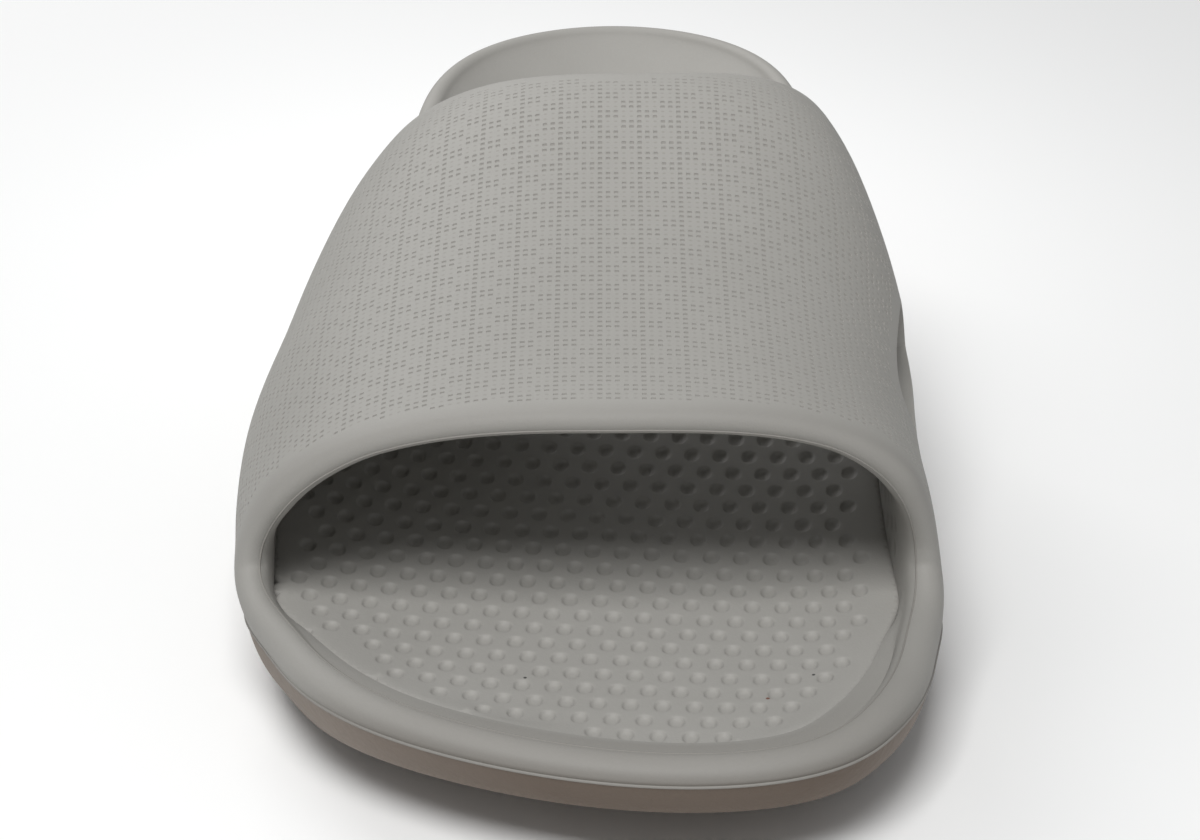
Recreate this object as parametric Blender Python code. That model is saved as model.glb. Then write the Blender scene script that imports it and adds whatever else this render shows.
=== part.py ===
# Sport slide sandal, right foot: a broad strap and rim moulded in one, a sole with lugs, and a footbed.
# The toe points to -Y, the big-toe side is +X, and the sole stands on z = 0.

import math

import bmesh
import bpy
import numpy as np

# Driving sizes in metres
LENGTH = 0.285
BALL_WIDTH = 0.1175
STRAP_HEIGHT = 0.0785
HEEL_HEIGHT = 0.0465
TOE_SPRING = 0.0098
ARCH_RISE = 0.0025
HEEL_RISE = 0.002

STRAP_WALL = 0.0043
FLANK_WALL = 0.0070
FOOTBED_THICKNESS = 0.0036
CLEARANCE = 0.0003

# Where the strap's edges run, from the toe tip: at the sides and over the crown. They keep their share
# of the length, as the strap's sections do.
STRAP_FRONT_SIDE = 0.2105 * LENGTH
STRAP_FRONT_CROWN = 0.1720 * LENGTH
STRAP_REAR_SIDE = 0.6175 * LENGTH
STRAP_REAR_CROWN = 0.5300 * LENGTH

# Length of the rounded toe and heel ends
TOE_END = 0.058
HEEL_END = 0.052

# The cut-out in the inner flank: from, to, its height above the rim's shoulder, and how far its corners
# are drawn in, as a share of a cell
CUTOUT_FRONT = 0.3050 * LENGTH
CUTOUT_REAR = 0.4210 * LENGTH
CUTOUT_LOW = 0.0045
CUTOUT_HIGH = 0.0170
CUTOUT_CORNER = 0.30

# How far the strap's rolled edges lean up where they meet the rim, on the rows from the rim on
EDGE_LEAN = (0.50, 0.30, 0.12)

# The share of the strap's side over which its wall thins from the rim's width to the strap's
WALL_BLEND = 0.5

# Lugs: grooves across the flat of the forefoot and of the heel leave bars between them
GROOVE_DEPTH = 0.0022
GROOVE_WIDTH = 0.0040
GROOVE_PITCH = 0.0115
GROOVE_MARGIN = 0.015

# Mesh fineness
TOE_STEPS = 12
STRAP_STEPS = 20
WAIST_STEPS = 8
HEEL_STEPS = 10
ACROSS_STEPS = 40
RIM_ROWS = 2
EDGE_POINTS = 5
FOOTBED_COLUMNS = 12

# Plan outline: centre and half width as shares of the ball width, before the ends are rounded
OUTLINE = {
    "along": (0.00, 0.07, 0.14, 0.21, 0.32, 0.42, 0.53, 0.63, 0.74, 0.84, 1.00),
    "centre": (0.115, 0.037, 0.003, -0.020, -0.030, -0.013, -0.008, -0.004, 0.006, 0.021, 0.026),
    "half": (0.494, 0.480, 0.475, 0.499, 0.500, 0.483, 0.438, 0.394, 0.352, 0.345, 0.365),
}

# Strap sections: crown height as a share of the strap height, crown offset as a share of the ball
# width, and how square each shoulder is (2 is an ellipse)
ARCH = {
    "along": (0.16, 0.21, 0.28, 0.35, 0.42, 0.53, 0.63),
    "crown": (0.722, 0.740, 0.779, 0.829, 0.889, 1.000, 0.985),
    "offset": (0.000, 0.000, 0.005, 0.010, 0.020, 0.030, 0.030),
    "outer_side": (2.45, 2.45, 2.50, 2.50, 2.52, 2.42, 2.22),
    "inner_side": (2.90, 2.95, 2.80, 2.88, 3.50, 3.60, 3.45),
}

# Heights as shares of the heel height: parting line, rim crest, and footbed
LEVELS = {
    "along": (0.00, 0.10, 0.17, 0.21, 0.32, 0.42, 0.53, 0.63, 0.74, 0.84, 0.93, 1.00),
    "parting": (0.372, 0.358, 0.342, 0.338, 0.370, 0.440, 0.515, 0.570, 0.605, 0.635, 0.655, 0.665),
    "crest": (0.440, 0.440, 0.470, 0.580, 0.690, 0.760, 0.825, 0.890, 0.915, 0.960, 0.995, 1.010),
    "footbed": (0.322, 0.333, 0.345, 0.362, 0.490, 0.625, 0.675, 0.690, 0.700, 0.710, 0.720, 0.730),
}

# Rim widths as shares of the flank wall: at its shoulder and where the footbed starts, with the
# height of its round top as a share of the wall too
RIM = {
    "along": (0.00, 0.08, 0.17, 0.21, 0.61, 0.75, 1.00),
    "shoulder": (0.98, 0.96, 0.96, 0.96, 0.96, 0.72, 0.56),
    "foot": (1.98, 1.62, 1.22, 1.06, 1.06, 1.75, 2.35),
    "round": (0.34, 0.36, 0.42, 0.50, 0.50, 0.38, 0.30),
}

# Underside: the share of the toe spring, arch and heel rise at each station. It lies flat on the
# ground from the 5th to the 6th station and from the 9th to the 10th.
UNDERSIDE = {
    "along": (0.00, 0.05, 0.11, 0.17, 0.23, 0.42, 0.52, 0.60, 0.70, 0.93, 1.00),
    "toe": (1.00, 0.82, 0.50, 0.20, 0.00, 0.00, 0.00, 0.00, 0.00, 0.00, 0.00),
    "arch": (0.00, 0.00, 0.00, 0.00, 0.00, 0.00, 1.00, 1.00, 0.00, 0.00, 0.00),
    "heel": (0.00, 0.00, 0.00, 0.00, 0.00, 0.00, 0.00, 0.00, 0.00, 0.00, 1.00),
}

# Sidewall of the sole: how far down from the parting line, as a share of its height, and how far in
# from the parting line, as a share of the turn-under
SIDEWALL = {
    "down": (0.20, 0.45, 0.68, 0.86, 0.96, 1.00),
    "in": (0.06, 0.18, 0.34, 0.56, 0.78, 1.00),
}
TURN_UNDER = 0.0100
TURN_SHARES = {
    "along": (0.00, 0.03, 0.10, 0.17, 0.50, 1.00),
    "little_toe_side": (0.60, 0.72, 0.95, 1.00, 0.80, 0.70),
    "big_toe_side": (0.60, 0.65, 0.75, 0.80, 0.70, 0.70),
}

# How far the foot's outline draws in below its widest line, down to the parting line, with the height
# over which it does so. The little-toe side draws in most; both as shares of the tuck.
TUCK = 0.0026
TUCK_HEIGHT = 0.0115
TUCK_SHARES = {
    "along": (0.00, 0.10, 0.17, 0.21, 0.35, 0.60, 1.00),
    "little_toe_side": (0.10, 0.20, 0.80, 1.00, 1.00, 0.60, 0.40),
    "big_toe_side": (0.10, 0.10, 0.15, 0.20, 0.20, 0.30, 0.40),
}

# Footbed: how far its border stands above its middle, and the swell under the arch of the foot
CUP_RISE = 0.0022
ARCH_SWELL = 0.0035
SWELL_AT = 0.56
SWELL_REACH = 0.11

# The least height of the rim's inner shoulder above the footbed's border, and how far the rim's outer
# face stands out between parting line and shoulder
RIM_STEP = 0.0008
RIM_SWELL = 0.0001


def read(table, column, share):
    """A smooth curve through a table's column that never overshoots it."""
    x = np.asarray(table["along"])
    y = np.asarray(table[column])
    step = np.diff(x)
    slope = np.diff(y) / step
    tangent = np.zeros_like(y)
    for i in range(1, len(x) - 1):
        if slope[i - 1] * slope[i] > 0:
            tangent[i] = 2 * slope[i - 1] * slope[i] / (slope[i - 1] + slope[i])
    tangent[0] = slope[0]
    tangent[-1] = slope[-1]
    share = min(max(share, x[0]), x[-1])
    i = int(min(np.searchsorted(x, share, side="right") - 1, len(x) - 2))
    t = (share - x[i]) / step[i]
    start = (1 + 2 * t) * (1 - t) ** 2 * y[i] + t * t * (3 - 2 * t) * y[i + 1]
    return start + step[i] * (t * (1 - t) ** 2 * tangent[i] - t * t * (1 - t) * tangent[i + 1])


def end_round(along):
    """1 in the middle of the foot, falling to 0 at the toe tip and the heel along an ellipse."""
    toe = max(0.0, 1 - along / TOE_END)
    heel = max(0.0, 1 - (LENGTH - along) / HEEL_END)
    return math.sqrt(max(0.0, 1 - max(toe, heel) ** 2))


def edge_x(along, side):
    """X of the outer edge at a distance from the toe tip; side is -1 (little toe) or 1 (big toe)."""
    share = along / LENGTH
    reach = read(OUTLINE, "half", share) * end_round(along)
    return BALL_WIDTH * (read(OUTLINE, "centre", share) + side * reach)


def level(column, along):
    return HEEL_HEIGHT * read(LEVELS, column, along / LENGTH)


def rim(column, along):
    return FLANK_WALL * read(RIM, column, along / LENGTH)


def shoulder_height(along):
    return level("crest", along) - rim("round", along)


def underside(along):
    share = along / LENGTH
    return (
        TOE_SPRING * read(UNDERSIDE, "toe", share)
        + ARCH_RISE * read(UNDERSIDE, "arch", share)
        + HEEL_RISE * read(UNDERSIDE, "heel", share)
    )


def stations():
    """Distances from the toe tip: close together where the ends turn, even between them."""
    toe = [TOE_END * (1 - math.cos(math.pi / 2 * i / TOE_STEPS)) for i in range(TOE_STEPS)]
    toe.append((toe[-1] + STRAP_FRONT_SIDE) / 2)
    strap = list(np.linspace(STRAP_FRONT_SIDE, STRAP_REAR_SIDE, STRAP_STEPS + 1))
    waist = list(np.linspace(STRAP_REAR_SIDE, LENGTH - HEEL_END, WAIST_STEPS + 1)[1:])
    turns = [math.pi / 2 * i / HEEL_STEPS for i in range(1, HEEL_STEPS + 1)]
    heel = [LENGTH - HEEL_END * (1 - math.sin(turn)) for turn in turns]
    return toe + strap + waist + heel


def inward(along, side):
    """The plan direction from the outer edge into the foot, square to the edge."""
    if along <= 0:
        return np.array((0.0, 1.0))
    if along >= LENGTH:
        return np.array((0.0, -1.0))
    step = min(0.0005, along / 2, (LENGTH - along) / 2)
    run = edge_x(along + step, side) - edge_x(along - step, side)
    direction = np.array((-side * 2 * step, side * run))
    return direction / np.linalg.norm(direction)


def inset_point(along, side, inset, z):
    """A point at a height z, a distance in from the outer edge."""
    into = inward(along, side)
    return np.array((edge_x(along, side) + into[0] * inset, along - LENGTH / 2 + into[1] * inset, z))


def footbed_edge(along):
    return level("footbed", along) + CUP_RISE


def tuck(along, side, rise):
    """How far in the outer face lies at a height above the parting line."""
    column = "little_toe_side" if side < 0 else "big_toe_side"
    return TUCK * read(TUCK_SHARES, column, along / LENGTH) * max(0.0, 1 - rise / TUCK_HEIGHT) ** 1.5


def rim_outer(along, side):
    """The rim's outer face, from the parting line up to its shoulder."""
    low = level("parting", along)
    high = shoulder_height(along)
    points = []
    for k in range(RIM_ROWS + 1):
        rise = (high - low) * k / RIM_ROWS
        swell = RIM_SWELL * math.sin(math.pi * k / RIM_ROWS)
        points.append(inset_point(along, side, tuck(along, side, rise) - swell, low + rise))
    return points


def rim_inner(along, side):
    """The rim's inner face, from the footbed's underside up to its shoulder."""
    foot = rim("foot", along)
    shoulder = max(shoulder_height(along), footbed_edge(along) + RIM_STEP)
    return [
        inset_point(along, side, foot, level("footbed", along) - FOOTBED_THICKNESS),
        inset_point(along, side, foot, footbed_edge(along)),
        inset_point(along, side, rim("shoulder", along), shoulder),
    ]


def half_section(along, side):
    """One half of the strap's outer section in (x, z), base to crown, as a fine polyline."""
    share = along / LENGTH
    low = level("parting", along)
    crown = STRAP_HEIGHT * read(ARCH, "crown", share)
    top_x = BALL_WIDTH * read(ARCH, "offset", share)
    reach = edge_x(along, side) - top_x
    power = 2 / read(ARCH, "outer_side" if side < 0 else "inner_side", share)
    angle = np.linspace(0, math.pi / 2, 200)
    x = top_x + reach * np.cos(angle) ** power
    z = low + (crown - low) * np.sin(angle) ** power
    x[-1] = top_x
    x -= side * np.array([tuck(along, side, rise) for rise in z - low])
    return np.column_stack((x, z))


def strap_row(row, side, along):
    """Outer and inner point of a strap row (0 at the base) on one side at a distance from the toe."""
    line = half_section(along, side)
    run = np.concatenate(((0,), np.cumsum(np.linalg.norm(np.diff(line, axis=0), axis=1))))
    rim_run = np.interp(shoulder_height(along), line[:, 1], run)
    rows = ACROSS_STEPS // 2
    if row <= RIM_ROWS:
        at = rim_run * row / RIM_ROWS
    else:
        at = rim_run + (run[-1] - rim_run) * (row - RIM_ROWS) / (rows - RIM_ROWS)
    step = 0.0008
    here = np.array([np.interp(at, run, line[:, c]) for c in (0, 1)])
    before = np.array([np.interp(at - step, run, line[:, c]) for c in (0, 1)])
    after = np.array([np.interp(at + step, run, line[:, c]) for c in (0, 1)])
    tangent = (after - before) / np.linalg.norm(after - before)
    if row == rows:
        tangent = np.array((-side, 0.0))
    normal = side * np.array((tangent[1], -tangent[0]))
    rise = max(0.0, (at - rim_run) / (run[-1] - rim_run))
    wall = rim("shoulder", along) + (STRAP_WALL - rim("shoulder", along)) * min(1.0, rise / WALL_BLEND)
    inner = here - normal * wall
    outer_point = np.array((here[0], along - LENGTH / 2, here[1]))
    inner_point = np.array((inner[0], along - LENGTH / 2, inner[1]))
    if row == 0:
        outer_point = inset_point(along, side, tuck(along, side, 0), level("parting", along))
    if row < 2:
        inner_point = rim_inner(along, side)[row]
    return outer_point, inner_point


def edge_along(row, front):
    """Distance of the strap's edge from the toe tip at a row, leaning from the side to the crown."""
    side = STRAP_FRONT_SIDE if front else STRAP_REAR_SIDE
    crown = STRAP_FRONT_CROWN if front else STRAP_REAR_CROWN
    rows = ACROSS_STEPS // 2
    lift = max(0.0, (row - RIM_ROWS) / (rows - RIM_ROWS))
    return side + (crown - side) * math.sin(lift * math.pi / 2) ** 1.2


def strap_point(step, across):
    """Outer and inner point of the strap's grid."""
    rows = ACROSS_STEPS // 2
    side = -1 if across <= rows else 1
    row = across if across <= rows else ACROSS_STEPS - across
    front = edge_along(row, True)
    rear = edge_along(row, False)
    return strap_row(row, side, front + (rear - front) * step / STRAP_STEPS)


def round_edge(outer, inner, away):
    """Points of a half-round edge between the two skins, standing out along a direction."""
    points = []
    depth = np.linalg.norm(outer - inner) / 2
    for i in range(1, EDGE_POINTS + 1):
        angle = math.pi * i / (EDGE_POINTS + 1)
        blend = (1 - math.cos(angle)) / 2
        points.append(outer + (inner - outer) * blend + away * depth * math.sin(angle))
    return points


def rim_top(along, outer, inner):
    """The rim's round top between its two shoulders, square to the crest where the crest climbs."""
    points = []
    step = 0.001
    climb = (level("crest", along + step) - level("crest", along - step)) / (2 * step)
    upward = np.array((0, -climb, 1)) / math.hypot(climb, 1)
    for i in range(1, EDGE_POINTS + 1):
        angle = math.pi * i / (EDGE_POINTS + 1)
        blend = (1 - math.cos(angle)) / 2
        points.append(outer + (inner - outer) * blend + upward * rim("round", along) * math.sin(angle))
    return points


class Skin:
    """A mesh under construction, with a vertex for each name."""

    def __init__(self):
        self.mesh = bmesh.new()
        self.points = {}

    def add(self, name, point):
        if name not in self.points:
            self.points[name] = self.mesh.verts.new(point)
        return self.points[name]

    def face(self, *names):
        corners = []
        for name in names:
            vertex = self.points[name]
            if vertex not in corners:
                corners.append(vertex)
        if len(corners) > 2:
            self.mesh.faces.new(corners)

    def strip(self, first, second):
        for i in range(len(first) - 1):
            self.face(first[i], first[i + 1], second[i + 1], second[i])

    def finish(self, name, material):
        bmesh.ops.recalc_face_normals(self.mesh, faces=self.mesh.faces)
        data = bpy.data.meshes.new(name)
        self.mesh.to_mesh(data)
        self.mesh.free()
        data.shade_smooth()
        data.materials.append(material)
        made = bpy.data.objects.new(name, data)
        bpy.context.scene.collection.objects.link(made)
        return made


def foam(name, colour, roughness):
    material = bpy.data.materials.new(name)
    material.use_nodes = True
    shader = material.node_tree.nodes["Principled BSDF"]
    shader.inputs["Base Color"].default_value = (*colour, 1)
    shader.inputs["Roughness"].default_value = roughness
    shader.inputs["Metallic"].default_value = 0
    return material


def rim_column(skin, key, along, side):
    """One cross section of the rim: outer face, round top and inner face. Returns its names in order."""
    outer = rim_outer(along, side)
    inner = rim_inner(along, side)
    names = []
    for k, point in enumerate(outer):
        names.append((key, "outer", k))
        skin.add(names[-1], point)
    for i, point in enumerate(rim_top(along, outer[-1], inner[-1])):
        names.append((key, "top", i))
        skin.add(names[-1], point)
    for k in range(RIM_ROWS, -1, -1):
        names.append((key, "inner", k))
        skin.add(names[-1], inner[k])
    return names


def strap_column(step, side):
    """Names of the strap's rim rows at its first or last step, in the order of a rim column."""
    rows = [k if side < 0 else ACROSS_STEPS - k for k in range(RIM_ROWS + 1)]
    outer = [("strap", "outer", step, across) for across in rows]
    top = [("edge", step, rows[-1], i) for i in range(EDGE_POINTS)]
    inner = [("strap", "inner", step, across) for across in reversed(rows)]
    return outer + top + inner


def in_cutout(step, across, steps, rows):
    return steps[0] <= step < steps[1] and rows[0] <= across < rows[1]


def cutout_cells():
    """The block of strap cells that the cut-out takes away, on the inner flank."""
    middle = (CUTOUT_FRONT + CUTOUT_REAR) / 2
    crown = ACROSS_STEPS // 2
    grid = [strap_point(s, ACROSS_STEPS - RIM_ROWS - 2)[0][1] + LENGTH / 2 for s in range(STRAP_STEPS + 1)]
    front, middle_step, rear = [
        int(np.argmin([abs(at - want) for at in grid])) for want in (CUTOUT_FRONT, middle, CUTOUT_REAR)]
    base = shoulder_height(middle)
    heights = [strap_point(middle_step, a)[0][2] - base for a in range(crown, ACROSS_STEPS + 1)]
    high, low = [crown + int(np.argmin([abs(h - want) for h in heights])) for want in (CUTOUT_HIGH, CUTOUT_LOW)]
    return (front, rear), (high, low)


def make_upper(material):
    """Strap, rolled edges and rim in one hollow solid, open at toe, throat, cut-out and underneath."""
    skin = Skin()
    steps, rows = cutout_cells()
    for step in range(STRAP_STEPS + 1):
        for across in range(ACROSS_STEPS + 1):
            outer, inner = strap_point(step, across)
            skin.add(("strap", "outer", step, across), outer)
            skin.add(("strap", "inner", step, across), inner)

    # Rounded corners of the cut-out
    for step, step_in in ((steps[0], 1), (steps[1], -1)):
        for across, across_in in ((rows[0], 1), (rows[1], -1)):
            for layer in ("outer", "inner"):
                corner = skin.points[("strap", layer, step, across)]
                toward = skin.points[("strap", layer, step + step_in, across + across_in)]
                corner.co = corner.co.lerp(toward.co, CUTOUT_CORNER)

    for layer in ("outer", "inner"):
        for step in range(STRAP_STEPS):
            for across in range(ACROSS_STEPS):
                if not in_cutout(step, across, steps, rows):
                    skin.face(
                        ("strap", layer, step, across), ("strap", layer, step + 1, across),
                        ("strap", layer, step + 1, across + 1), ("strap", layer, step, across + 1))

    # The wall of the cut-out
    border = [(s, rows[0]) for s in range(steps[0], steps[1])]
    border += [(steps[1], a) for a in range(rows[0], rows[1])]
    border += [(s, rows[1]) for s in range(steps[1], steps[0], -1)]
    border += [(steps[0], a) for a in range(rows[1], rows[0], -1)]
    border.append(border[0])
    skin.strip([("strap", "outer", *at) for at in border], [("strap", "inner", *at) for at in border])

    # Underneath, along both flanks
    for across in (0, ACROSS_STEPS):
        skin.strip([("strap", "outer", s, across) for s in range(STRAP_STEPS + 1)],
                   [("strap", "inner", s, across) for s in range(STRAP_STEPS + 1)])

    # Rolled front and rear edges; where they meet the rim they lean half up
    for step, ahead in ((0, -1), (STRAP_STEPS, 1)):
        lines = []
        for across in range(RIM_ROWS, ACROSS_STEPS - RIM_ROWS + 1):
            outer = np.array(skin.points[("strap", "outer", step, across)].co)
            inner = np.array(skin.points[("strap", "inner", step, across)].co)
            from_rim = min(across, ACROSS_STEPS - across) - RIM_ROWS
            lean = EDGE_LEAN[from_rim] if from_rim < len(EDGE_LEAN) else 0.0
            away = np.array((0, ahead * (1 - lean), lean))
            away /= np.linalg.norm(away)
            for i, point in enumerate(round_edge(outer, inner, away)):
                skin.add(("edge", step, across, i), point)
            round_names = [("edge", step, across, i) for i in range(EDGE_POINTS)]
            lines.append([("strap", "outer", step, across)] + round_names + [("strap", "inner", step, across)])
        for first, second in zip(lines, lines[1:]):
            skin.strip(first, second)

    # The rim round the toe and round the heel
    at = stations()
    front = [i for i, along in enumerate(at) if along < STRAP_FRONT_SIDE - 1e-6]
    rear = [i for i, along in enumerate(at) if along > STRAP_REAR_SIDE + 1e-6]
    toe_loop = [(i, -1) for i in reversed(front)] + [(i, 1) for i in front if i > 0]
    heel_loop = [(i, -1) for i in rear] + [(i, 1) for i in reversed(rear) if at[i] < LENGTH - 1e-6]
    for loop, step in ((toe_loop, 0), (heel_loop, STRAP_STEPS)):
        columns = [strap_column(step, -1)]
        columns += [rim_column(skin, ("rim", i, side), at[i], side) for i, side in loop]
        columns.append(strap_column(step, 1))
        for first, second in zip(columns, columns[1:]):
            skin.strip(first + first[:1], second + second[:1])
    return skin.finish("upper", material)


def ring(skin, key, at, point):
    """Names of a closed loop of points over the stations: little-toe side back, big-toe side forward."""
    order = [(i, -1) for i in range(len(at))] + [(i, 1) for i in range(len(at) - 2, 0, -1)]
    names = []
    for i, side in order:
        names.append((key, i, side if 0 < i < len(at) - 1 else 0))
        skin.add(names[-1], point(at[i], side))
    return names + names[:1]


def fill(skin, key, at, columns, point):
    """Rows of faces across a closed loop that ring() made under the same key; point shapes the inside."""
    last = len(at) - 1
    rows = []
    for i in range(last + 1):
        if i in (0, last):
            rows.append([(key, i, 0)] * (columns + 1))
            continue
        left = np.array(skin.points[(key, i, -1)].co)
        right = np.array(skin.points[(key, i, 1)].co)
        row = [(key, i, -1)]
        for c in range(1, columns):
            row.append((key, i, "in", c))
            skin.add(row[-1], point(at[i], left + (right - left) * c / columns, c / columns))
        rows.append(row + [(key, i, 1)])
    for first, second in zip(rows, rows[1:]):
        skin.strip(first, second)


def footbed_height(along, across):
    """Height of the footbed's top; across is 0 at the little-toe edge and 1 at the big-toe edge."""
    out = abs(2 * across - 1)
    cup = CUP_RISE * out ** 4
    middle = math.exp(-(((along / LENGTH) - SWELL_AT) / SWELL_REACH) ** 2)
    swell = ARCH_SWELL * middle * math.sin(math.pi * min(1.0, across ** 2.2))
    return level("footbed", along) + cup + swell


def make_footbed(material):
    """The insole: a thin cupped plate that lies inside the rim on the sole."""
    skin = Skin()
    at = stations()

    def top_edge(along, side):
        return inset_point(along, side, rim("foot", along) + CLEARANCE, footbed_edge(along))

    def low_edge(along, side):
        z = level("footbed", along) - FOOTBED_THICKNESS
        return inset_point(along, side, rim("foot", along) + CLEARANCE, z)

    def top(along, point, across):
        return np.array((point[0], point[1], footbed_height(point[1] + LENGTH / 2, across)))

    top_ring = ring(skin, "top", at, top_edge)
    low_ring = ring(skin, "low", at, low_edge)
    skin.strip(top_ring, low_ring)
    fill(skin, "top", at, FOOTBED_COLUMNS, top)
    fill(skin, "low", at, 4, lambda along, point, across: point)
    return skin.finish("footbed", material)


def make_grooves():
    """One cutter object: a bar below each groove, as long as the sole's width allows."""
    bars = bmesh.new()
    flats = ((UNDERSIDE["along"][4], UNDERSIDE["along"][5]), (UNDERSIDE["along"][8], UNDERSIDE["along"][9]))
    for first, last in flats:
        room = (last - first) * LENGTH - GROOVE_PITCH
        count = int(room / GROOVE_PITCH)
        for i in range(count + 1):
            middle = (first + last) / 2 * LENGTH + (i - count / 2) * GROOVE_PITCH
            left = edge_x(middle, -1) + GROOVE_MARGIN
            right = edge_x(middle, 1) - GROOVE_MARGIN
            bar = bmesh.ops.create_cube(bars, size=1)["verts"]
            bmesh.ops.scale(bars, verts=bar, vec=(right - left, GROOVE_WIDTH, 2 * GROOVE_DEPTH))
            bmesh.ops.translate(bars, verts=bar, vec=((left + right) / 2, middle - LENGTH / 2, 0))
    data = bpy.data.meshes.new("grooves")
    bars.to_mesh(data)
    bars.free()
    cutter = bpy.data.objects.new("grooves", data)
    bpy.context.scene.collection.objects.link(cutter)
    cutter.hide_render = True
    cutter.display_type = "WIRE"
    return cutter


def make_sole(material):
    """The sole: a ledge for the rim, a bed for the insole, a sidewall that turns under, and lugs."""
    skin = Skin()
    at = stations()

    def top_outer(along, side):
        return inset_point(along, side, tuck(along, side, 0), level("parting", along) - CLEARANCE)

    def top_inner(along, side):
        z = level("footbed", along) - FOOTBED_THICKNESS - CLEARANCE
        return inset_point(along, side, rim("foot", along), z)

    def wall(down, into):
        def point(along, side):
            low = underside(along)
            high = level("parting", along) - CLEARANCE
            column = "little_toe_side" if side < 0 else "big_toe_side"
            inset = tuck(along, side, 0) + TURN_UNDER * read(TURN_SHARES, column, along / LENGTH) * into
            return inset_point(along, side, inset, high + (low - high) * down)
        return point

    loops = [ring(skin, "bed", at, top_inner), ring(skin, "ledge", at, top_outer)]
    for i, (down, into) in enumerate(zip(SIDEWALL["down"], SIDEWALL["in"])):
        loops.append(ring(skin, f"wall {i}", at, wall(down, into)))
    for first, second in zip(loops, loops[1:]):
        skin.strip(first, second)
    fill(skin, "bed", at, 4, lambda along, point, across: point)
    fill(skin, f"wall {i}", at, 6, lambda along, point, across: point)
    sole = skin.finish("sole", material)
    cut = sole.modifiers.new("lugs", "BOOLEAN")
    cut.operation = "DIFFERENCE"
    cut.object = make_grooves()
    return sole


def centre(solids, others):
    """Moves every mesh so that the origin lies on the ground under the middle of the whole."""
    corners = [vertex.co for solid in solids for vertex in solid.data.vertices]
    for axis in (0, 1):
        middle = (min(c[axis] for c in corners) + max(c[axis] for c in corners)) / 2
        for made in solids + others:
            for vertex in made.data.vertices:
                vertex.co[axis] -= middle


def main():
    for old in list(bpy.data.objects):
        bpy.data.objects.remove(old)
    upper = make_upper(foam("moulded foam", (0.42, 0.41, 0.39), 0.75))
    footbed = make_footbed(foam("footbed foam", (0.40, 0.39, 0.37), 0.80))
    sole = make_sole(foam("outsole foam", (0.36, 0.33, 0.30), 0.85))
    centre([upper, footbed, sole], [sole.modifiers["lugs"].object])


main()
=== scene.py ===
import math

import bmesh
import bpy
import numpy as np
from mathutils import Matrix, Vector, geometry
from mathutils.bvhtree import BVHTree


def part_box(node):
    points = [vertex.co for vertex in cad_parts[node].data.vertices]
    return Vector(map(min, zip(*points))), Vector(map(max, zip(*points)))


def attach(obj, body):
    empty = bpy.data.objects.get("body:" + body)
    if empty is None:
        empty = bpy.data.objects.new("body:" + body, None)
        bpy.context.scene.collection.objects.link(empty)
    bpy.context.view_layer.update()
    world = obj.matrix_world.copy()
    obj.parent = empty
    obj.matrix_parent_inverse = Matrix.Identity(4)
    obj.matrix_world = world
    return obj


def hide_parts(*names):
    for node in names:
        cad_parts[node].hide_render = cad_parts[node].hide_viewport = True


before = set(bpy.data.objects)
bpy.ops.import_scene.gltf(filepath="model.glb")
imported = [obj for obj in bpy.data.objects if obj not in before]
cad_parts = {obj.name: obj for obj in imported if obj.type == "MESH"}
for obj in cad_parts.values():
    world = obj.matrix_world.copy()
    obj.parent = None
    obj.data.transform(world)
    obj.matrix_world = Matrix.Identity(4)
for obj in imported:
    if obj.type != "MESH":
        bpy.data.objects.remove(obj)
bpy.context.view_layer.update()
print("frame loaded:", ", ".join(sorted(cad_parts)))


# Everyday steps that every piece uses

def clearSelection():
    if bpy.context.object and bpy.context.object.mode != "OBJECT":
        objectMode()
    bpy.ops.object.select_all(action="DESELECT")


def pick(piece):
    clearSelection()
    piece.select_set(True)
    bpy.context.view_layer.objects.active = piece


def editMode():
    bpy.ops.object.mode_set(mode="EDIT")


def objectMode():
    bpy.ops.object.mode_set(mode="OBJECT")


# Edit mode with all of the piece selected
def editAll(piece):
    pick(piece)
    editMode()
    bpy.ops.mesh.select_all(action="SELECT")


def link(thing):
    bpy.context.scene.collection.objects.link(thing)


def addModifier(piece, kind, **settings):
    pick(piece)
    modifier = piece.modifiers.new(kind.lower(), kind)
    for key, value in settings.items():
        setattr(modifier, key, value)
    bpy.ops.object.modifier_apply(modifier=modifier.name)


# Leaves edit mode with just the chosen corners, edges or faces selected
def selectParts(piece, kind, chosen):
    pick(piece)
    editMode()
    bpy.ops.mesh.select_mode(type=kind)
    bpy.ops.mesh.select_all(action="DESELECT")
    objectMode()
    parts = {"VERT": piece.data.vertices, "EDGE": piece.data.edges, "FACE": piece.data.polygons}[kind]
    parts.foreach_set("select", np.array(chosen, dtype=bool))


def newPiece(name, vertices, faces):
    mesh = bpy.data.meshes.new(name)
    mesh.from_pydata([tuple(v) for v in vertices], [], faces)
    mesh.update()
    piece = bpy.data.objects.new(name, mesh)
    link(piece)
    return piece


def placesOf(piece):
    flat = np.empty(len(piece.data.vertices) * 3)
    piece.data.vertices.foreach_get("co", flat)
    return flat.reshape(-1, 3)


def setPlaces(piece, places):
    piece.data.vertices.foreach_set("co", np.asarray(places, dtype=float).ravel())
    piece.data.update()


def surfaceOf(piece):
    return BVHTree.FromPolygons([v.co.copy() for v in piece.data.vertices],
                                [tuple(p.vertices) for p in piece.data.polygons])


def trianglesOf(piece):
    return sum(len(p.vertices) - 2 for p in piece.data.polygons)


# How the CAD's triangles are put back in faces of four corners
pairing = {"merge": 0.00002, "foldWeight": 3, "longestChain": 40, "leastGain": 0.05, "rounds": 3}


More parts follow.
